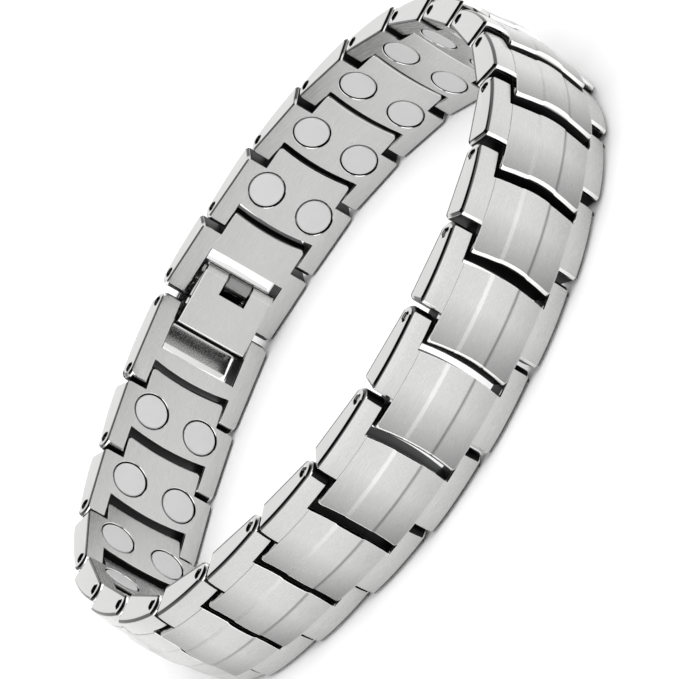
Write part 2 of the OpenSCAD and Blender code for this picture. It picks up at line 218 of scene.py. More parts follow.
class Tree:
    """A node tree, with one method that adds any node."""

    def __init__(self, owner):
        owner.use_nodes = True
        self.owner = owner
        self.tree = owner.node_tree
        self.tree.nodes.clear()

    def node(self, kind, settings=None, values=None):
        """Adds a node and returns its outputs; values are numbers, colours or sockets."""
        made = self.tree.nodes.new(kind)
        for key, value in (settings or {}).items():
            setattr(made, key, value)
        for key, value in (values or {}).items():
            if isinstance(value, Socket):
                self.tree.links.new(value.link, made.inputs[key])
            else:
                made.inputs[key].default_value = value
        return [Socket(self, output) for output in made.outputs]

    def finish(self, values):
        """Ends the tree in a Principled BSDF with these values and returns the material."""
        shader = self.node("ShaderNodeBsdfPrincipled", None, values)[0]
        self.node("ShaderNodeOutputMaterial", None, {"Surface": shader})
        return self.owner


print("helpers ready")

# %% [markdown]
# ## Steel finish
# The links are brushed along the band, and their edges, ends and side faces are polished.
# Two materials could do that, but one that reads marks from the mesh keeps each link one
# piece. "flat" is the place of a point in the link's own axes, so the brush strokes stay
# with their link. "polish" marks polished faces, which also get a painted sheen. "wall"
# marks the steep faces between links and "pit" the rim of a magnet's pocket, both darkened
# with painted shade. "glint" marks the bevels that get a painted highlight. "shade" is a
# random tone of each link, and on the clasp cover it is painted shade on the knuckle, the
# web and the barrel's underside.

# %% Steel tones
STROKE_LENGTH = 3.2 * MM
STROKE_WIDTH = 0.05 * MM
STROKE_HEIGHT = 0.004 * MM
STROKE_TONE, STROKE_ROUGHNESS = 0.07, 0.06
CLOUD_SIZE, CLOUD_TONE = 2.5 * MM, 0.04
# Lifts of the base colour: a painted sheen on polished faces, and a painted highlight on the
# glinting bevels and chamfers and on the upper crease.
POLISH_SHEEN_LIFT, GLINT_HIGHLIGHT_LIFT, CREASE_HIGHLIGHT_LIFT = 0.15, 0.5, 0.05
# Falls of the base colour, all painted shade: beside the tongue, on the lower flank, in the lower
# crease, along the edges and between the links.
TONGUE_SHADE_FALL, FLANK_SHADE_FALL, CREASE_SHADE_FALL, EDGE_SHADE_FALL, GAP_SHADE_FALL = 0.48, 0.14, 0.5, 0.85, 0.97
DEEP_ROUGHNESS = 0.4
print("falls of tone:", TONGUE_SHADE_FALL, FLANK_SHADE_FALL, CREASE_SHADE_FALL, EDGE_SHADE_FALL, GAP_SHADE_FALL)

# %% [markdown]
# ## Where the painted shade and highlights lie
# Painted shade darkens the walls between the links, the end of a block that dips under
# the next link's tongue, the lower flank and the lower crease, and thin dark lines of
# painted shade run along the edges. The upper crease gets a painted highlight. Each
# function turns the place of a point into a mask from 0 to 1 for one of these.

# %% Masks of the steel
SKIN_LOW, SKIN_HIGH, SKIN_FADE = -1.0 * MM, 2.12 * MM, 0.15 * MM
HALF_CENTRE = 4.4 * MM
CROWN_RATE = 0.026 / MM
OUTSIDE_LOW, OUTSIDE_HIGH = 1.3 * MM, 1.5 * MM
TONGUE_FROM, TONGUE_TO, SIDE_SHARE = 3.6 * MM, -1.4 * MM, 0.4
FLANK_FROM, FLANK_TO = -1.4 * MM, -4.2 * MM
CREASE_INNER, CREASE_MIDDLE, CREASE_OUTER = 1.25 * MM, 1.5 * MM, 1.8 * MM
EDGE_OUT, EDGE_IN = half_width - 0.32 * MM, half_width - 0.18 * MM
EDGE_LOW, EDGE_END = -0.86 * MM, half_width - 0.01 * MM
HAIR = 0.1 * MM


def gap_shade_mask(height, off_middle, wall, pit):
    """Painted shade on the walls between two links, below the crowned outside and above the
    inside, and on the rims of the magnet pockets.
    """
    on_centre = off_middle.tree.node(
        "ShaderNodeMath", {"operation": "MINIMUM"}, {0: off_middle, 1: HALF_CENTRE})[0]
    below_crown = height + CROWN_RATE * on_centre * on_centre
    above_floor = height.clamp(SKIN_LOW, SKIN_LOW + SKIN_FADE)
    return above_floor * below_crown.clamp(SKIN_HIGH, SKIN_HIGH - SKIN_FADE) * wall + pit


def edge_shade_mask(height, off_middle):
    """Painted shade: the thin dark lines along the outer and the inner edge of each side."""
    outer = off_middle.clamp(EDGE_OUT, EDGE_OUT + HAIR)
    outer = outer * off_middle.clamp(EDGE_END, EDGE_END - 0.3 * HAIR)
    outer = outer * height.clamp(-5 * HAIR, 0.0)
    inner = off_middle.clamp(EDGE_IN, EDGE_IN + 0.6 * HAIR)
    return outer + inner * height.clamp(EDGE_LOW + 0.6 * HAIR, EDGE_LOW)


def outside_shade_and_highlight(along_link, across, height, off_middle, polish):
    """Painted shade and highlight on the outside: its dark end by the tongue, its darker lower
    flank, its darker lower crease and its lighter upper crease.
    """
    outside = height.clamp(OUTSIDE_LOW, OUTSIDE_HIGH)
    on_block = outside * off_middle.clamp(HALF_CENTRE, HALF_CENTRE - HAIR)
    near_tongue = along_link.clamp(TONGUE_FROM, TONGUE_TO) * outside
    near_tongue = near_tongue * (SIDE_SHARE + (1 - SIDE_SHARE) * on_block) * (1.0 - polish)
    lower_flank = across.clamp(FLANK_FROM, FLANK_TO) * on_block
    crease = on_block * (1.0 - polish) * off_middle.clamp(CREASE_INNER, CREASE_MIDDLE)
    crease = crease * off_middle.clamp(CREASE_OUTER, CREASE_MIDDLE)
    upper = across.clamp(-HAIR, HAIR)
    tone = (1.0 - TONGUE_SHADE_FALL * near_tongue) * (1.0 - FLANK_SHADE_FALL * lower_flank)
    return tone * (1.0 + crease * (upper * (CREASE_HIGHLIGHT_LIFT + CREASE_SHADE_FALL) - CREASE_SHADE_FALL))


print("masks ready")

# %% [markdown]
# ## Brushed and polished
# Real brushing is thousands of fine scratches. Drawing them would be slow, so a noise
# that is stretched along the link stands for them in the roughness and the bump.

# %% Brushed steel


def mark(tree, name):
    """A stored number of the mesh."""
    return tree.node("ShaderNodeAttribute", {"attribute_name": name})[2]


def tinted(tree, colour, value):
    """A colour, made lighter or darker by a value."""
    grey = tree.node("ShaderNodeCombineColor", None, {0: value, 1: value, 2: value})[0]
    return tree.node(
        "ShaderNodeMix", {"data_type": "RGBA", "blend_type": "MULTIPLY"},
        {"Factor": 1.0, 6: (*colour, 1.0), 7: grey},
    )[2]


def brushed_steel(name, colour, brushed, polished, stroke_bump):
    """A steel with brush strokes along the link and polished edges."""
    tree = Tree(bpy.data.materials.new(name))
    flat = tree.node("ShaderNodeAttribute", {"attribute_name": "flat"})[1]
    along_link, across, height = tree.node("ShaderNodeSeparateXYZ", None, {0: flat})
    off_middle = tree.node("ShaderNodeMath", {"operation": "ABSOLUTE"}, {0: across})[0]
    polish = mark(tree, "polish")
    gap_shade = gap_shade_mask(height, off_middle, mark(tree, "wall"), mark(tree, "pit"))
    edge = edge_shade_mask(height, off_middle)
    stretched = tree.node(
        "ShaderNodeMapping", {"vector_type": "POINT"},
        {"Vector": flat, "Scale": (1 / STROKE_LENGTH, 1 / STROKE_WIDTH, 1 / STROKE_WIDTH)},
    )[0]
    strokes = tree.node(
        "ShaderNodeTexNoise", {"noise_dimensions": "3D"},
        {"Vector": stretched, "Scale": 1.0, "Detail": 3.0, "Roughness": 0.6},
    )[0]
    clouds = tree.node(
        "ShaderNodeTexNoise", {"noise_dimensions": "3D"},
        {"Vector": flat, "Scale": 1 / CLOUD_SIZE, "Detail": 2.0},
    )[0]
    brush = 1.0 - polish
    tone = strokes.clamp(0.3, 0.7, -1.0, 1.0) * brush
    value = 1.0 + STROKE_TONE * tone + CLOUD_TONE * (clouds - 0.5) * brush
    # Painted light in the base colour: painted shade from the outside's tones, the edge lines and
    # the walls between links, a painted sheen on polished faces and painted highlights on the
    # glints.
    value = value * outside_shade_and_highlight(along_link, across, height, off_middle, polish)
    value = value * (1.0 - EDGE_SHADE_FALL * edge) * (1.0 - GAP_SHADE_FALL * gap_shade) * mark(tree, "shade")
    value = value * (1.0 + POLISH_SHEEN_LIFT * polish + GLINT_HIGHLIGHT_LIFT * mark(tree, "glint") * (1.0 - edge))
    rough = brushed + STROKE_ROUGHNESS * tone
    rough = rough + (polished - brushed) * polish + DEEP_ROUGHNESS * gap_shade
    bump = tree.node(
        "ShaderNodeBump", None,
        {"Strength": stroke_bump, "Distance": STROKE_HEIGHT, "Height": strokes * brush},
    )[0]
    return tree.finish({
        "Base Color": tinted(tree, colour, value), "Metallic": 1.0, "Roughness": rough,
        "Normal": bump,
    })


link_steel = brushed_steel("link_steel", (0.53, 0.53, 0.526), 0.25, 0.10, 0.5)
print("steel nodes:", len(link_steel.node_tree.nodes))

# %% [markdown]
# ## Pins and magnets
# The pins are drawn steel and the magnets have a dull plated skin. Both are plain, so a
# fine grain in the colour and the roughness is enough to keep them from looking painted.

# %% Plain finishes


def plain_finish(name, colour, metallic, roughness, grain_size):
    """A plain finish with a fine grain in its colour and roughness."""
    tree = Tree(bpy.data.materials.new(name))
    place = tree.node("ShaderNodeTexCoord")[3]
    grain = tree.node(
        "ShaderNodeTexNoise", None, {"Vector": place, "Scale": 1 / grain_size, "Detail": 2.0}
    )[0]
    return tree.finish({
        "Base Color": tinted(tree, colour, 1.0 + 0.06 * (grain - 0.5)),
        "Metallic": metallic, "Roughness": roughness + 0.1 * (grain - 0.5),
    })


pin_steel = plain_finish("pin_steel", (0.62, 0.62, 0.61), 1.0, 0.22, 0.3 * MM)
magnet_grey = plain_finish("magnet_grey", (0.60, 0.60, 0.60), 0.4, 0.5, 0.15 * MM)
print("materials:", [m.name for m in (link_steel, pin_steel, magnet_grey)])

# %% [markdown]
# ## Closed shapes from a bent box
# A link's block and strips are boxes whose faces are bent: the outside is arched and
# crowned, and the ends are bowed. A grid over the six faces of a box, with a rule that
# says where each grid point goes, makes such a shape with clean quads that take a bevel.

# %% Bent box


def cuts(start, end, count):
    """count + 1 even values from start to end."""
    return [start + (end - start) * i / count for i in range(count + 1)]


def bent_box(name, along, across, up, place):
    """A closed mesh over the grid of three lists of values, moved by the rule place."""
    mesh_maker = bmesh.new()
    grid = {}

    def corner(i, j, k):
        if (i, j, k) not in grid:
            grid[i, j, k] = mesh_maker.verts.new(place(along[i], across[j], up[k]))
        return grid[i, j, k]

    def quad(*keys):
        mesh_maker.faces.new([corner(*key) for key in keys])

    ni, nj, nk = len(along) - 1, len(across) - 1, len(up) - 1
    for i in range(ni):
        for j in range(nj):
            quad((i, j, nk), (i + 1, j, nk), (i + 1, j + 1, nk), (i, j + 1, nk))
            quad((i, j, 0), (i, j + 1, 0), (i + 1, j + 1, 0), (i + 1, j, 0))
    for j in range(nj):
        for k in range(nk):
            quad((ni, j, k), (ni, j + 1, k), (ni, j + 1, k + 1), (ni, j, k + 1))
            quad((0, j, k), (0, j, k + 1), (0, j + 1, k + 1), (0, j + 1, k))
    for i in range(ni):
        for k in range(nk):
            quad((i, nj, k), (i, nj, k + 1), (i + 1, nj, k + 1), (i + 1, nj, k))
            quad((i, 0, k), (i + 1, 0, k), (i + 1, 0, k + 1), (i, 0, k + 1))
    mesh = bpy.data.meshes.new(name)
    mesh_maker.to_mesh(mesh)
    mesh_maker.free()
    made = bpy.data.objects.new(name, mesh)
    bpy.context.scene.collection.objects.link(made)
    return made


print("bent_box ready")

# %% [markdown]
# ## The sizes of a link
# These are the sizes of the solid links in millimetres. The pieces drawn here have the
# same outer form, and add the bevels, the grooves and the rounded corners that catch the
# light.

# %% Link sizes
half_block = 4.45 * MM
pocket_half = 4.60 * MM
inner_depth = 1.05 * MM
ridge_height = 2.8 * MM
strip_height = 2.2 * MM
nose_radius = 1.33 * MM
ear_reach = 0.87 * MM
tongue_reach = 1.48 * MM
tongue_undercut = 0.64 * MM
notch_depth = 2.05 * MM
shoulder_offset = 1.98 * MM
shoulder_lean = 0.42 * MM
bow_radius = 25 * MM
link_arch = 24 * MM
rib_half = 1.28 * MM
rib_rise = 0.16 * MM
rib_run = 0.45 * MM
rib_crown = 10.5 * MM
flank_fall = 0.28 * MM
strip_crown = 9 * MM
edge_radius = 0.4 * MM
LINK_PITCH = 8.8 * MM
notch_x = LINK_PITCH - notch_depth
bow = bow_radius - math.sqrt(bow_radius ** 2 - half_block ** 2)
rib_sagitta = rib_crown - math.sqrt(rib_crown ** 2 - rib_half ** 2)
block_middle = (notch_x + bow - tongue_reach) / 2
BEVEL = 0.13 * MM
CORNER_RADIUS = 0.5 * MM
ARM_CORNER = 0.85 * MM
TONGUE_CORNER = 0.4 * MM
END_CHAMFER = 0.19 * MM
END_DROP = 0.28 * MM


def crown_drop(y):
    """How far the crowned outside lies below the ridge, at the place y across the band."""
    y = abs(y)
    if y <= rib_half:
        return rib_crown - math.sqrt(rib_crown ** 2 - y ** 2)
    step = min((y - rib_half) / rib_run, 1.0)
    slope = max(y - rib_half - rib_run, 0.0) / (half_block - rib_half - rib_run)
    return rib_sagitta + rib_rise * step ** 2 * (3 - 2 * step) + flank_fall * slope


def arc_height(x, middle, top, arch, radius):
    """Height of a wheel of the given radius whose arch of radius arch tops out at top."""
    return top - arch + math.sqrt(radius ** 2 - (x - middle) ** 2)


def bow_at(y):
    """How far a bowed end stands out at the place y across the band."""
    return bow - (bow_radius - math.sqrt(bow_radius ** 2 - min(abs(y), half_block) ** 2))


def corner_at(y):
    """How far the rounded corner of a tongue draws its end back at the place y."""
    past = max(abs(y) - half_block + TONGUE_CORNER, 0.0)
    return TONGUE_CORNER - math.sqrt(max(TONGUE_CORNER ** 2 - past ** 2, 0.0))


def undercut_at(z):
    """How much the tongue is shorter at a height below its pin."""
    if z >= 0:
        return 0.0
    if z >= -inner_depth / 2:
        return -z / (inner_depth / 2) * tongue_undercut / 4
    return tongue_undercut * (0.25 + (-z / inner_depth - 0.5) * 1.5)


one_side = (
    cuts(0.0, rib_half, 3) + cuts(rib_half, rib_half + rib_run, 6)[1:]
    + cuts(rib_half + rib_run, half_block - TONGUE_CORNER, 2)[1:]
    + [half_block - TONGUE_CORNER * share for share in (0.6, 0.3, 0.1, 0.0)]
)
ACROSS = [-y for y in reversed(one_side[1:])] + one_side


def block_piece(name, start, end, tongue, bowed, middle):
    """The centre block, with a tongue end at its start and a bowed notch floor at its end."""

    def place(u, y, w):
        at_start = start + (bow_at(y) + corner_at(y) if tongue else 0.0)
        at_end = end + (bow_at(y) if bowed else 0.0)
        x = at_start + (at_end - at_start) * u
        z = -inner_depth
        if w > 0:
            top = arc_height(x, middle, ridge_height, link_arch, link_arch - crown_drop(y))
            z = -inner_depth + (top + inner_depth) * w
            if tongue and w == 1:
                z = z - END_DROP * max(1 - u / chamfer, 0.0)
        if tongue:
            x = x + undercut_at(z) * (1 - u)
        return Vector((x, y, z))

    low = 0.5 * inner_depth / (ridge_height + inner_depth)
    chamfer = END_CHAMFER / (end - start)
    along = [0.0] + cuts(chamfer if tongue else 1 / 14, 1, 13)
    return bent_box(name, along, ACROSS, [0, low, 2 * low, 1], place)


def strip_outline(start, nosed, last_pin):
    """Side view of a strip as (x, kind) points: floor, nose, ear end, arch and start."""
    points = []
    lean = shoulder_lean / (strip_height + inner_depth)
    foot = math.asin(inner_depth / nose_radius)
    knee = math.acos(ear_reach / nose_radius)
    first = -math.sqrt(nose_radius ** 2 - inner_depth ** 2) if nosed else start
    for x in cuts(first, last_pin + nose_radius * math.cos(foot), 8):
        points.append(("floor", x, -inner_depth))
    for a in cuts(-foot, knee, 10)[1:]:
        points.append(("side", last_pin + nose_radius * math.cos(a), nose_radius * math.sin(a)))
    tip = -ear_reach if nosed else start - lean * (strip_height + inner_depth)
    for x in cuts(last_pin + ear_reach, tip if nosed else tip + END_CHAMFER, 16):
        points.append(("top", x, strip_height))
    if not nosed:
        points.append(("edge", tip, strip_height))
    if nosed:
        for a in cuts(math.pi - knee, math.pi + foot, 10)[:-1]:
            points.append(("side", nose_radius * math.cos(a), nose_radius * math.sin(a)))
    return points


def strip_piece(name, side, start, nosed, last_pin, middle):
    """One side strip, lofted across the band from inside the block to the side face."""
    outline = strip_outline(start, nosed, last_pin)
    corner = ARM_CORNER if nosed else CORNER_RADIUS
    rows = [(y, 0.0) for y in cuts(half_block - 0.3 * MM, half_width - edge_radius, 7)]
    low_x = -nose_radius if nosed else start - shoulder_lean
    centre, half_length = (low_x + last_pin + nose_radius) / 2, (
        last_pin + nose_radius - low_x
    ) / 2
    for a in cuts(0, math.pi / 2, 6)[1:]:
        rows.append((
            half_width - edge_radius * (1 - math.sin(a)), edge_radius * (1 - math.cos(a))
        ))
    maker = bmesh.new()
    rings = []
    for y, drop in rows:
        run = min(max(y - half_block, 0.0), half_width - edge_radius - half_block)
        radius = link_arch - strip_crown + math.sqrt(strip_crown ** 2 - run ** 2) - drop
        past = max(y - half_width + corner, 0.0)
        inset = corner - math.sqrt(corner ** 2 - past ** 2)
        ring = []
        for kind, x, z in outline:
            x = centre + (x - centre) * (1 - inset / half_length)
            if kind in ("top", "edge"):
                z = arc_height(x, middle, strip_height, link_arch, radius)
                z = z - (END_DROP if kind == "edge" else 0.0)
            ring.append(maker.verts.new((x, side * y, z)))
        rings.append(ring)
    count = len(outline)
    for one, two in zip(rings, rings[1:]):
        for i in range(count):
            j = (i + 1) % count
            maker.faces.new([one[i], one[j], two[j], two[i]])
    maker.faces.new(list(reversed(rings[0])))
    maker.faces.new(rings[-1])
    bmesh.ops.recalc_face_normals(maker, faces=maker.faces)
    mesh = bpy.data.meshes.new(name)
    maker.to_mesh(mesh)
    maker.free()
    made = bpy.data.objects.new(name, mesh)
    bpy.context.scene.collection.objects.link(made)
    return made


print(f"bow {bow / MM:.2f} mm, rib sagitta {rib_sagitta / MM:.2f} mm")

# %% [markdown]
# ## Bevels, joins and cuts
# Modifiers do the heavy work here and are applied at once by reading the evaluated mesh.
# The exact boolean joins the shells into one closed solid and cuts the bores.

# %% Modifier helpers
BEVEL_TAG = 1
SLIVER = 0.006 * MM


def baked(obj):
    """Replaces an object's mesh by its evaluated one and drops the modifiers."""
    bpy.context.view_layer.update()
    graph = bpy.context.evaluated_depsgraph_get()
    mesh = bpy.data.meshes.new_from_object(obj.evaluated_get(graph))
    obj.modifiers.clear()
    obj.data = mesh
    return obj


def bevelled(obj, width=BEVEL, segments=2, angle=32.0):
    """Bevels every edge sharper than the angle."""
    modifier = obj.modifiers.new("bevel", "BEVEL")
    modifier.width = width
    modifier.segments = segments
    modifier.limit_method = "ANGLE"
    modifier.angle_limit = math.radians(angle)
    modifier.use_clamp_overlap = True
    for _ in range(BEVEL_TAG + 1):
        obj.data.materials.append(None)
    modifier.material = BEVEL_TAG
    return without_slivers(baked(obj))


def without_slivers(obj):
    """Collapses the nearly flat faces of a bevel, which would spoil the exact boolean."""
    maker = bmesh.new()
    maker.from_mesh(obj.data)
    bmesh.ops.dissolve_degenerate(maker, dist=SLIVER, edges=maker.edges)
    maker.to_mesh(obj.data)
    maker.free()
    return obj


def open_edges(obj):
    """How many edges of a mesh don't have exactly two faces; a closed shape has none."""
    maker = bmesh.new()
    maker.from_mesh(obj.data)
    count = sum(not edge.is_manifold for edge in maker.edges)
    maker.free()
    return count


def boolean(obj, other, operation):
    """Joins or cuts obj with other and removes other."""
    modifier = obj.modifiers.new("boolean", "BOOLEAN")
    modifier.operation = operation
    modifier.solver = "EXACT"
    modifier.object = other
    baked(obj)
    bpy.data.objects.remove(other)
    return obj


def lathe(name, profile, place, axis="Z", count=48):
    """A closed turned shape from (radius, height) points, about the axis at place."""
    maker = bmesh.new()
    rings = []
    for radius, height in profile:
        ring = []
        for i in range(count):
            a = 2 * math.pi * (i + 0.5) / count
            ring.append(maker.verts.new((radius * math.cos(a), radius * math.sin(a), height)))
        rings.append(ring)
    for one, two in zip(rings, rings[1:]):
        for i in range(count):
            j = (i + 1) % count
            maker.faces.new([one[i], one[j], two[j], two[i]])
    maker.faces.new(list(reversed(rings[0])))
    maker.faces.new(rings[-1])
    bmesh.ops.recalc_face_normals(maker, faces=maker.faces)
    if axis == "Y":
        bmesh.ops.rotate(maker, verts=maker.verts, matrix=Matrix.Rotation(-math.pi / 2, 3, "X"))
    bmesh.ops.translate(maker, verts=maker.verts, vec=place)
    mesh = bpy.data.meshes.new(name)
    maker.to_mesh(mesh)
    maker.free()
    made = bpy.data.objects.new(name, mesh)
    bpy.context.scene.collection.objects.link(made)
    return made


def brick(name, low, high):
    """A plain box between two corners."""
    return bent_box(
        name, [low[0], high[0]], [low[1], high[1]], [low[2], high[2]],
        lambda x, y, z: Vector((x, y, z)),
    )


BORE = 0.56 * MM
FLARE = 0.06 * MM
FAR = 20 * MM


def bore_cutter(x, z=0.0, half=None):
    """A cutter for a pin bore whose mouths at the side faces are flared."""
    half = half_width if half is None else half
    over = 0.5 * MM
    return lathe("bore", [
        (BORE + FLARE + over, -half - over), (BORE, -half + FLARE),
        (BORE, half - FLARE), (BORE + FLARE + over, half + over),
    ], Vector((x, 0.0, z)), "Y", 32)


print("modifier helpers ready")

# %% [markdown]
# ## Where the magnets sit
# Each link holds two magnets in round pockets of its inner face. A pocket is a little
# wider than its magnet, which leaves the thin dark ring of the real one.

# %% Magnet sizes
magnet_radius = 1.9 * MM
magnet_thickness = 1.3 * MM
magnet_clearance = 0.13 * MM
magnet_spread = 3.05 * MM
magnet_setback = 4.8 * MM
pit_x = LINK_PITCH - magnet_setback
pit_radius = magnet_radius + magnet_clearance + 0.01 * MM
print(f"pocket radius {pit_radius / MM:.2f} mm")

# %% [markdown]
# ## Finish marks
# The steel reads its marks from the mesh, so each face is sorted by where it looks and
# how wide it is. Broad faces that look to the outside or the inside are brushed. Bevels,
# ends and side faces are polished and get a painted sheen, and among them the bevels that
# look along the band get a painted highlight. Steep faces away from the side edges are
# walls, which get painted shade, and so do the rims of the magnet pockets.

# %% Finish marks
BRUSHED_SLOPE = 0.86
LEVEL = 0.965
BEVEL_SLOPE = 0.3
OUTSIDE = 1.3 * MM
CHAMFER_TURN = 0.35
GLINT_TURN = 0.25
NARROW = 0.045 * MM
SIDEWAYS = 0.7
WALL_MARGIN = 0.3 * MM
PIT_REACH = 0.03 * MM
SMOOTH_ANGLE = math.radians(19)


def face_marks(mesh, face, leaf):
    """The polish, wall, glint and pit of one face, each true or false."""
    corners = [mesh.vertices[i].co for i in face.vertices]
    around = sum((a - b).length for a, b in zip(corners, corners[1:] + corners[:1]))
    level, turn, aside = abs(face.normal.z), abs(face.normal.x), abs(face.normal.y)
    off_middle = abs(face.center.y)
    rib_step = abs(off_middle - rib_half - rib_run / 2) < 0.55 * rib_run
    tagged = face.material_index == BEVEL_TAG
    narrow = tagged or (face.area <= NARROW * around and not rib_step and not leaf)
    chamfer = not leaf and face.center.z > OUTSIDE and turn > CHAMFER_TURN
    glint = (narrow or chamfer) and BEVEL_SLOPE < level < LEVEL
    glint = glint and turn > GLINT_TURN and (tagged or level < BRUSHED_SLOPE)
    brushed = level > LEVEL or (level > BRUSHED_SLOPE and not glint)
    steep = level < BRUSHED_SLOPE and (aside > SIDEWAYS or not leaf) and not glint
    wall = steep and off_middle < half_width - WALL_MARGIN
    from_pit = math.hypot(face.center.x - pit_x, off_middle - magnet_spread) - pit_radius
    pit = abs(from_pit) < PIT_REACH and level < BEVEL_SLOPE and not leaf
    return {"polish": not brushed, "wall": wall, "glint": glint, "pit": pit}


def mark_finish(obj, leaf=False):
    """Stores the flat place and the marks of each face, and smooths the curved faces."""
    mesh = obj.data
    flat = mesh.attributes.new("flat", "FLOAT_VECTOR", "POINT")
    flat.data.foreach_set("vector", [v for vertex in mesh.vertices for v in vertex.co])
    marks = [face_marks(mesh, face, leaf) for face in mesh.polygons]
    for name in ("polish", "wall", "glint", "pit"):
        made = mesh.attributes.new(name, "FLOAT", "FACE")
        made.data.foreach_set("value", [float(found[name]) for found in marks])
    shade = mesh.attributes.new("shade", "FLOAT", "POINT")
    shade.data.foreach_set("value", [1.0] * len(mesh.vertices))
    mesh.polygons.foreach_set("material_index", [0] * len(mesh.polygons))
    mesh.materials.clear()
    mesh.shade_smooth()
    mesh.set_sharp_from_angle(angle=SMOOTH_ANGLE)
    return obj


print("finish marks ready")

# %% [markdown]
# ## One link
# A link is a centre block with a tongue and two side strips with ears. The space between
# the ears is cut by a box whose edges flare, which leaves a chamfer on the ears. Two
# flared pockets take the magnets, and two flared bores take the pins.

# %% The link


def between_cutter(low_x, high_x, inner, middle):
    """A cutter for the space between two ears or arms, flared along their edges."""
    chamfer = 0.12 * MM
    over = 0.5 * MM

    def place(x, y, level):
        top = arc_height(x, middle, strip_height, link_arch, link_arch)
        z = (-inner_depth - over, -inner_depth + chamfer, top - chamfer, top + over)[level]
        flare = chamfer + over if level in (0, 3) else 0.0
        return Vector((x, y * (inner + flare), z))

    return bent_box("between", cuts(low_x, high_x, 8), [-1, 1], [0, 1, 2, 3], place)


def link_shape(name, last_pin, block, strip_start, nosed, middle, spaces):
    """Joins a block and two strips; block is (start, end, tongue, bowed)."""
    strips = []
    for side in (-1, 1):
        strip = bevelled(strip_piece("strip", side, strip_start, nosed, last_pin, middle))
        for low_x, high_x, inner in spaces:
            boolean(strip, between_cutter(low_x, high_x, inner, middle), "DIFFERENCE")
        strips.append(strip)
    made = bevelled(block_piece(name, *block, middle))
    for strip in strips:
        boolean(made, strip, "UNION")
    for x in (0.0, last_pin):
        boolean(made, bore_cutter(x), "DIFFERENCE")
    return made


def pocket_cutter(x, y):
    """A cutter for a magnet pocket whose mouth is slightly flared."""
    over = 0.5 * MM
    flare = 0.05 * MM
    return lathe("pocket", [
        (pit_radius + flare + over, -inner_depth - over), (pit_radius, -inner_depth + flare),
        (pit_radius, -inner_depth + magnet_thickness + 0.12 * MM),
    ], Vector((x, y, 0.0)), "Z", 56)


link_master = link_shape(
    "link_master", LINK_PITCH, (-tongue_reach, notch_x, True, True), shoulder_offset, False,
    block_middle, [(notch_x, LINK_PITCH + 2 * MM, pocket_half)],
)
for side in (-1, 1):
    boolean(link_master, pocket_cutter(pit_x, side * magnet_spread), "DIFFERENCE")
mark_finish(link_master)
print("link faces:", len(link_master.data.polygons), "open edges:", open_edges(link_master))

# %% [markdown]
# ## Placing the links with Geometry Nodes
# A point cloud with one vertex per link carries the link's turn. The node tree puts the
# link on each point, gives each a slightly different tone and ends in real geometry with
# the steel on it.

# %% Node trees that place pieces


class Placer(Tree):
    """A Geometry Nodes tree with named inputs."""

    def __init__(self, name, inputs):
        self.tree = bpy.data.node_groups.new(name, "GeometryNodeTree")
        self.ids = {}
        face = self.tree.interface
        for label, kind in [("Geometry", "NodeSocketGeometry")] + inputs:
            made = face.new_socket(label, in_out="INPUT", socket_type=kind)
            self.ids[label] = made.identifier
        face.new_socket("Geometry", in_out="OUTPUT", socket_type="NodeSocketGeometry")
        outputs = self.node("NodeGroupInput")
        labels = [label for label, _ in [("Geometry", "")] + inputs]
        self.given = dict(zip(labels, outputs))

    def end(self, geometry, material):
        """Realizes the instances, sets the material and ends the tree."""
        real = self.node("GeometryNodeRealizeInstances", None, {"Geometry": geometry})[0]
        done = self.node(
            "GeometryNodeSetMaterial", None, {"Geometry": real, "Material": material}
        )[0]
        self.node("NodeGroupOutput", None, {0: done})

    def run(self, name, places, values):
        """Runs the tree on points at the given matrices and returns the plain mesh."""
        mesh = bpy.data.meshes.new(name)
        mesh.from_pydata([m.to_translation() for m in places], [], [])
        turn = mesh.attributes.new("turn", "FLOAT_VECTOR", "POINT")
        turn.data.foreach_set("vector", [v for m in places for v in m.to_euler()])
        obj = bpy.data.objects.new(name, mesh)
        bpy.context.scene.collection.objects.link(obj)
        modifier = obj.modifiers.new("place", "NODES")
        modifier.node_group = self.tree
        for label, value in values.items():
            modifier[self.ids[label]] = value
        return baked(obj)


def turn_attribute(tree):
    """The stored turn of each point."""
    return tree.node(
        "GeometryNodeInputNamedAttribute", {"data_type": "FLOAT_VECTOR"}, {"Name": "turn"}
    )[0]


link_tree = Placer("place_links", [
    ("Link", "NodeSocketObject"), ("Steel", "NodeSocketMaterial"),
    ("Tone spread", "NodeSocketFloat"), ("Seed", "NodeSocketInt"),
])
link_mesh = link_tree.node(
    "GeometryNodeObjectInfo", {"transform_space": "ORIGINAL"},
    {"Object": link_tree.given["Link"]},
)[4]
on_points = link_tree.node("GeometryNodeInstanceOnPoints", None, {
    "Points": link_tree.given["Geometry"], "Instance": link_mesh,
    "Rotation": turn_attribute(link_tree),
})[0]
tone = link_tree.node("FunctionNodeRandomValue", {"data_type": "FLOAT"}, {
    2: 1.0 - link_tree.given["Tone spread"], 3: 1.0 + link_tree.given["Tone spread"],
    "Seed": link_tree.given["Seed"],
})[1]
toned = link_tree.node(
    "GeometryNodeStoreNamedAttribute", {"data_type": "FLOAT", "domain": "INSTANCE"},
    {"Geometry": on_points, "Name": "shade", "Value": tone},
)[0]
link_tree.end(toned, link_tree.given["Steel"])
links = link_tree.run("links", steps[:LINK_COUNT], {
    "Link": link_master, "Steel": link_steel, "Tone spread": 0.02, "Seed": 7,
})
bpy.data.objects.remove(link_master)
print("links:", len(links.data.polygons), "faces")

# %% [markdown]
# ## Magnets and pins
# Both are round pieces with chamfered ends, so one tree makes them: a cylinder with three
# rings of side faces, whose end rings shrink and whose inner rings move out to the edge
# of the chamfer.

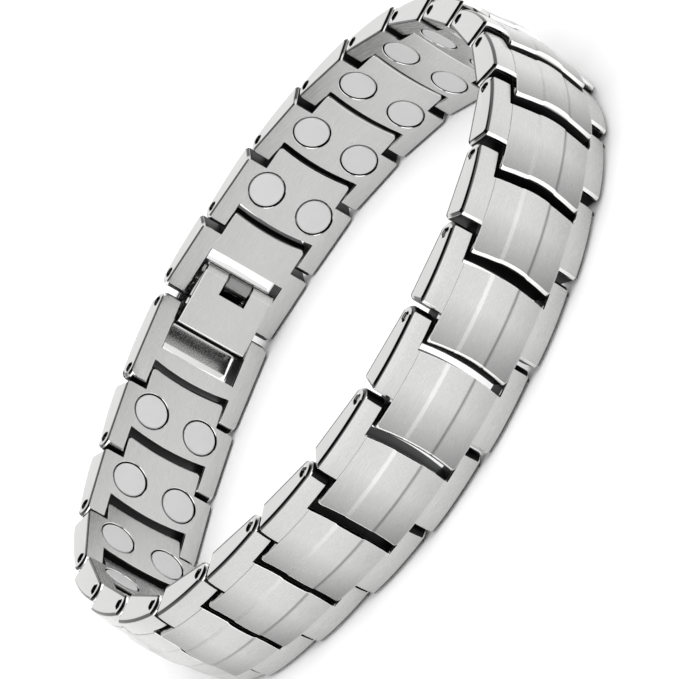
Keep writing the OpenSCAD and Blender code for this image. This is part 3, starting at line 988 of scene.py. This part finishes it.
# %% Magnets and pins
disc_tree = Placer("place_discs", [
    ("Radius", "NodeSocketFloat"), ("Length", "NodeSocketFloat"),
    ("Chamfer", "NodeSocketFloat"), ("Sides", "NodeSocketInt"),
    ("Finish", "NodeSocketMaterial"),
])
given = disc_tree.given
cylinder = disc_tree.node("GeometryNodeMeshCylinder", {"fill_type": "NGON"}, {
    "Vertices": given["Sides"], "Side Segments": 3, "Radius": given["Radius"],
    "Depth": given["Length"],
})[0]
spot = disc_tree.node("GeometryNodeInputPosition")[0]
px, py, pz = disc_tree.node("ShaderNodeSeparateXYZ", None, {0: spot})
end_ring = disc_tree.node("ShaderNodeMath", {"operation": "GREATER_THAN"}, {
    0: disc_tree.node("ShaderNodeMath", {"operation": "ABSOLUTE"}, {0: pz})[0],
    1: 0.35 * given["Length"],
})[0]
sign = disc_tree.node("ShaderNodeMath", {"operation": "SIGN"}, {0: pz})[0]
shrink = 1.0 - end_ring * disc_tree.node(
    "ShaderNodeMath", {"operation": "DIVIDE"}, {0: given["Chamfer"], 1: given["Radius"]}
)[0]
height = sign * (0.5 * given["Length"] - (1.0 - end_ring) * given["Chamfer"])
moved = disc_tree.node("GeometryNodeSetPosition", None, {
    "Geometry": cylinder,
    "Position": disc_tree.node(
        "ShaderNodeCombineXYZ", None, {0: px * shrink, 1: py * shrink, 2: height})[0],
})[0]
discs = disc_tree.node("GeometryNodeInstanceOnPoints", None, {
    "Points": given["Geometry"], "Instance": moved, "Rotation": turn_attribute(disc_tree),
})[0]
disc_tree.end(discs, given["Finish"])

magnet_places = [
    steps[i] @ Matrix.Translation((
        pit_x, side * magnet_spread, -inner_depth + magnet_thickness / 2,
    ))
    for i in range(LINK_COUNT) for side in (-1, 1)
]
magnets = disc_tree.run("magnet_discs", magnet_places, {
    "Radius": magnet_radius - 0.03 * MM, "Length": magnet_thickness, "Chamfer": 0.09 * MM,
    "Sides": 56, "Finish": magnet_grey,
})
PIN_RECESS = 0.2 * MM
pin_bars = disc_tree.run("pin_bars", [Matrix.Translation(p) for p in pins], {
    "Radius": 0.46 * MM, "Length": band_width - 2 * PIN_RECESS, "Chamfer": 0.12 * MM,
    "Sides": 32, "Finish": pin_steel,
})
for obj in (magnets, pin_bars):
    obj.data.shade_smooth()
    obj.data.set_sharp_from_angle(angle=math.radians(25))
print("magnets:", len(magnet_places), "pins:", len(pins))

# %% [markdown]
# ## End links
# The end link before the clasp has a short block and two arms with an open slot between
# them. The end link after the clasp has arms at both ends and a short block between.

# %% End links
END_A_PITCH = 8.5 * MM
END_A_SLOT = 4.75 * MM
END_B_PITCH = 8.05 * MM
END_B_SLOT = 4.7 * MM
END_B_NOTCH = 1.8 * MM


def placed(obj, matrix, material):
    """Moves a flat-drawn mesh to its place and gives it its material."""
    obj.data.transform(matrix)
    obj.data.materials.clear()
    obj.data.materials.append(material)
    return obj


slot_start = END_A_PITCH - END_A_SLOT
end_a = mark_finish(link_shape(
    "end_link_before", END_A_PITCH, (-tongue_reach, slot_start, True, False),
    shoulder_offset, False, block_middle, [(slot_start, END_A_PITCH + 2 * MM, half_block)],
))
placed(end_a, steps[LINK_COUNT], link_steel)
notch_b = END_B_PITCH - END_B_NOTCH
end_b = mark_finish(link_shape(
    "end_link_after", END_B_PITCH, (END_B_SLOT, notch_b, False, True), 0.0, True,
    END_B_PITCH / 2, [
        (notch_b, END_B_PITCH + 2 * MM, pocket_half), (-2 * MM, END_B_SLOT, half_block),
    ],
))
placed(end_b, steps[LINK_COUNT + 2], link_steel)
print("open edges of the end links:", open_edges(end_a), open_edges(end_b))

# %% [markdown]
# ## The clasp
# Two leaves make the fold-over clasp. The cover is an arched leaf with a barrel at the
# first clasp pin and a knuckle on a web. The plate is a flat leaf on the second clasp
# pin, with two knuckles beside the cover's.

# %% Clasp leaves
CLASP_PITCH = 3.55 * MM
CLASP_TURN = math.radians(32)
HALF_LEAF = 4.2 * MM
PLATE_THICKNESS = 0.9 * MM
PLATE_DROP = 1.75 * MM
PLATE_REACH = 0.8 * MM
BARREL = 1.1 * MM
PLATE_ROLL = 1.45 * MM
KNUCKLE = 0.95 * MM
HINGE_BACK = 1.45 * MM
HINGE_DROP = 2.5 * MM
NOTCH_WIDTH = 3.2 * MM
NOTCH_LENGTH = 1.8 * MM
KNUCKLE_PLAY = 0.15 * MM
WEB = 1.2 * MM
COVER_THICKNESS = 1.1 * MM
COVER_HEIGHT = 2.65 * MM
COVER_SPAN = math.radians(24)
COVER_ARCH = 14 * MM
reach_x, reach_z = CLASP_PITCH + HINGE_BACK, HINGE_DROP
reach = math.hypot(reach_x, reach_z)
plate_tilt = math.atan2(reach_z, reach_x) - math.asin((PLATE_DROP - KNUCKLE) / reach)
knuckle_back = math.sqrt(reach ** 2 - (PLATE_DROP - KNUCKLE) ** 2)
knuckle_low = KNUCKLE - PLATE_DROP
half_knuckle = NOTCH_WIDTH / 2 - KNUCKLE_PLAY
cover_tilt = CLASP_TURN / 2
cover_middle = CLASP_PITCH / 2 * math.cos(cover_tilt)
cover_hinge = (
    -HINGE_BACK * math.cos(cover_tilt) - HINGE_DROP * math.sin(cover_tilt),
    HINGE_BACK * math.sin(cover_tilt) - HINGE_DROP * math.cos(cover_tilt),
)


def bar(name, x, z, radius, half, chamfer=0.1 * MM):
    """A round bar across the band with chamfered ends."""
    return lathe(name, [
        (radius - chamfer, -half), (radius, -half + chamfer),
        (radius, half - chamfer), (radius - chamfer, half),
    ], Vector((x, 0.0, z)), "Y")


def cover_place(u, y, w):
    """The arched leaf: an angle along the arch, a place across and a share of thickness."""
    angle = COVER_SPAN * u
    low = COVER_ARCH - crown_drop(half_block) - COVER_THICKNESS
    radius = low + (COVER_ARCH - crown_drop(y / HALF_LEAF * half_block) - low) * w
    return Vector((
        cover_middle + radius * math.sin(angle), y,
        COVER_HEIGHT - COVER_ARCH + radius * math.cos(angle),
    ))


leaf_across = [y * HALF_LEAF / half_block for y in ACROSS]
cover = bevelled(bent_box("cover_leaf", cuts(-1, 1, 24), leaf_across, [0, 1], cover_place))
boolean(cover, bar("barrel", 0.0, 0.0, BARREL, HALF_LEAF), "UNION")
web_angle = math.atan2(cover_hinge[1], cover_hinge[0])
web = brick(
    "web", (0.0, -half_knuckle, -WEB / 2), (math.hypot(*cover_hinge), half_knuckle, WEB / 2),
)
web.data.transform(Matrix.Rotation(-web_angle, 4, "Y"))
boolean(cover, web, "UNION")
boolean(cover, bar("knuckle", *cover_hinge, KNUCKLE, half_knuckle), "UNION")
for x, z in ((0.0, 0.0), cover_hinge):
    boolean(cover, bore_cutter(x, z, HALF_LEAF), "DIFFERENCE")
mark_finish(cover, leaf=True)
# Painted shade: the points of the cover more than a knuckle's radius below its first pin, on the
# knuckle, the web and the barrel's underside, are half as bright.
cover.data.attributes["shade"].data.foreach_set(
    "value", [0.5 if vertex.co.z < -KNUCKLE else 1.0 for vertex in cover.data.vertices])
cover_step = step_matrix(pins[LINK_COUNT + 1], pins[LINK_COUNT + 2])
placed(cover, cover_step @ Matrix.Rotation(-cover_tilt, 4, "Y"), link_steel)

plate = bevelled(brick(
    "plate_leaf", (-knuckle_back, -HALF_LEAF, -PLATE_DROP),
    (PLATE_REACH, HALF_LEAF, -PLATE_DROP + PLATE_THICKNESS),
))
boolean(plate, bar("roll", 0.0, 0.0, PLATE_ROLL, HALF_LEAF), "UNION")
boolean(plate, bar("knuckles", -knuckle_back, knuckle_low, KNUCKLE, HALF_LEAF), "UNION")
notch = brick(
    "notch", (-knuckle_back - 3 * MM, -NOTCH_WIDTH / 2, -5 * MM),
    (NOTCH_LENGTH - knuckle_back, NOTCH_WIDTH / 2, 5 * MM),
)
boolean(plate, notch, "DIFFERENCE")
for x, z in ((0.0, 0.0), (-knuckle_back, knuckle_low)):
    boolean(plate, bore_cutter(x, z, HALF_LEAF), "DIFFERENCE")
mark_finish(plate, leaf=True)
plate_step = step_matrix(pins[LINK_COUNT + 2], pins[LINK_COUNT + 2] * 2 - pins[LINK_COUNT + 1])
placed(plate, plate_step @ Matrix.Rotation(-plate_tilt, 4, "Y"), link_steel)
print("open edges of the clasp leaves:", open_edges(cover), open_edges(plate))

hinge_pin = frame["nodes"]["clasp_hinge_pin"]
hinge_pin.data.materials.clear()
hinge_pin.data.materials.append(pin_steel)

# %% [markdown]
# ## Tying the pieces to the frame
# Each shown piece rides on the root body and stands for its solid nodes, which are hidden.
# The table also names a material slot for each piece, which nothing here reads.

# %% Frame table
link_names = [f"link_{i + 1:02d}" for i in range(LINK_COUNT)]
pin_names = [f"pin_{i:02d}" for i in range(PIN_COUNT)]
for obj, names, slot in (
    (links, link_names, "brushed_steel"),
    (end_a, ["end_link_a"], "brushed_steel"),
    (end_b, ["end_link_b"], "brushed_steel"),
    (cover, ["clasp_cover"], "brushed_steel"),
    (plate, ["clasp_plate"], "brushed_steel"),
    (magnets, ["magnets"], "magnet"),
    (pin_bars, pin_names, "pin_steel"),
):
    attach(obj, "root")
    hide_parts(*names)

# %% [markdown]
# ## Floor
# The photo has its bracelet on plain white, so the floor is one large matte white sheet.
# It lies a hair under the side faces, because two surfaces at one height would flicker.

# %% Floor
FLOOR_HALF = 4.0
FLOOR_GAP = 0.2 * MM
floor_mesh = bpy.data.meshes.new("floor")
floor_mesh.from_pydata(
    [(-FLOOR_HALF, -FLOOR_HALF, 0), (FLOOR_HALF, -FLOOR_HALF, 0),
     (FLOOR_HALF, FLOOR_HALF, 0), (-FLOOR_HALF, FLOOR_HALF, 0)], [], [(0, 1, 2, 3)],
)
floor = bpy.data.objects.new("floor", floor_mesh)
bpy.context.scene.collection.objects.link(floor)
floor.location.z = -FLOOR_GAP
floor_mesh.materials.append(Tree(bpy.data.materials.new("floor_white")).finish(
    {"Base Color": (0.93, 0.93, 0.93, 1.0), "Roughness": 0.9}))
print("floor", 2 * FLOOR_HALF, "m wide")

# %% [markdown]
# ## Sky and light
# Polished metal shows what stands around it. A bright sky gives the pale tones, and one
# dark patch overhead draws the black lines on the rounded edges. One large soft light
# from above brightens the floor and stays out of the reflections.

# %% Sky and light
SKY_BACK = 1.1
SKY_FRONT = 1.7
SKY_DARK = 0.02
SKY_TURN = (0.2, -0.7)
PATCH_FRONT, PATCH_UP = -0.1, 0.995
PATCH_EDGE = (0.64, 0.74)
LIGHT_HEIGHT = 0.8
LIGHT_SIZE = 1.2
LIGHT_POWER = 8.4


def studio_sky():
    """A bright sky with a dark patch overhead, a little to the front."""
    world = bpy.data.worlds.new("sky")
    tree = Tree(world)
    way = tree.node("ShaderNodeTexCoord")[0]
    _, depth, up = tree.node("ShaderNodeSeparateXYZ", None, {0: way})
    patch = (-PATCH_FRONT * depth + PATCH_UP * up).clamp(*PATCH_EDGE)
    bright = depth.clamp(*SKY_TURN, SKY_BACK, SKY_FRONT)
    value = bright - (bright - SKY_DARK) * patch
    colour = tree.node("ShaderNodeCombineColor", None, {0: value, 1: value, 2: value})[0]
    back = tree.node("ShaderNodeBackground", None, {"Color": colour, "Strength": 1.0})[0]
    tree.node("ShaderNodeOutputWorld", None, {"Surface": back})
    bpy.context.scene.world = world


def soft_light():
    """A large square light over the loop that looks straight down."""
    data = bpy.data.lights.new("top_light", "AREA")
    data.shape = "SQUARE"
    data.size = LIGHT_SIZE
    data.energy = LIGHT_POWER
    made = bpy.data.objects.new("top_light", data)
    bpy.context.scene.collection.objects.link(made)
    made.location.z = LIGHT_HEIGHT
    made.visible_glossy = False
    return made


studio_sky()
light = soft_light()
bpy.context.scene.view_settings.view_transform = "Standard"
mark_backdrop(floor, light, camera)
print("light:", light.name, "at", LIGHT_HEIGHT, "m")

# %% [markdown]
# ## Sizes at the end
# The shown object must fill the same box as the solids, so both boxes are printed.

# %% Print the sizes
shown_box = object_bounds()
for label, box in (("cad", cad_box), ("shown", shown_box)):
    print(label, [round((high - low) / MM, 2) for low, high in zip(*box)])
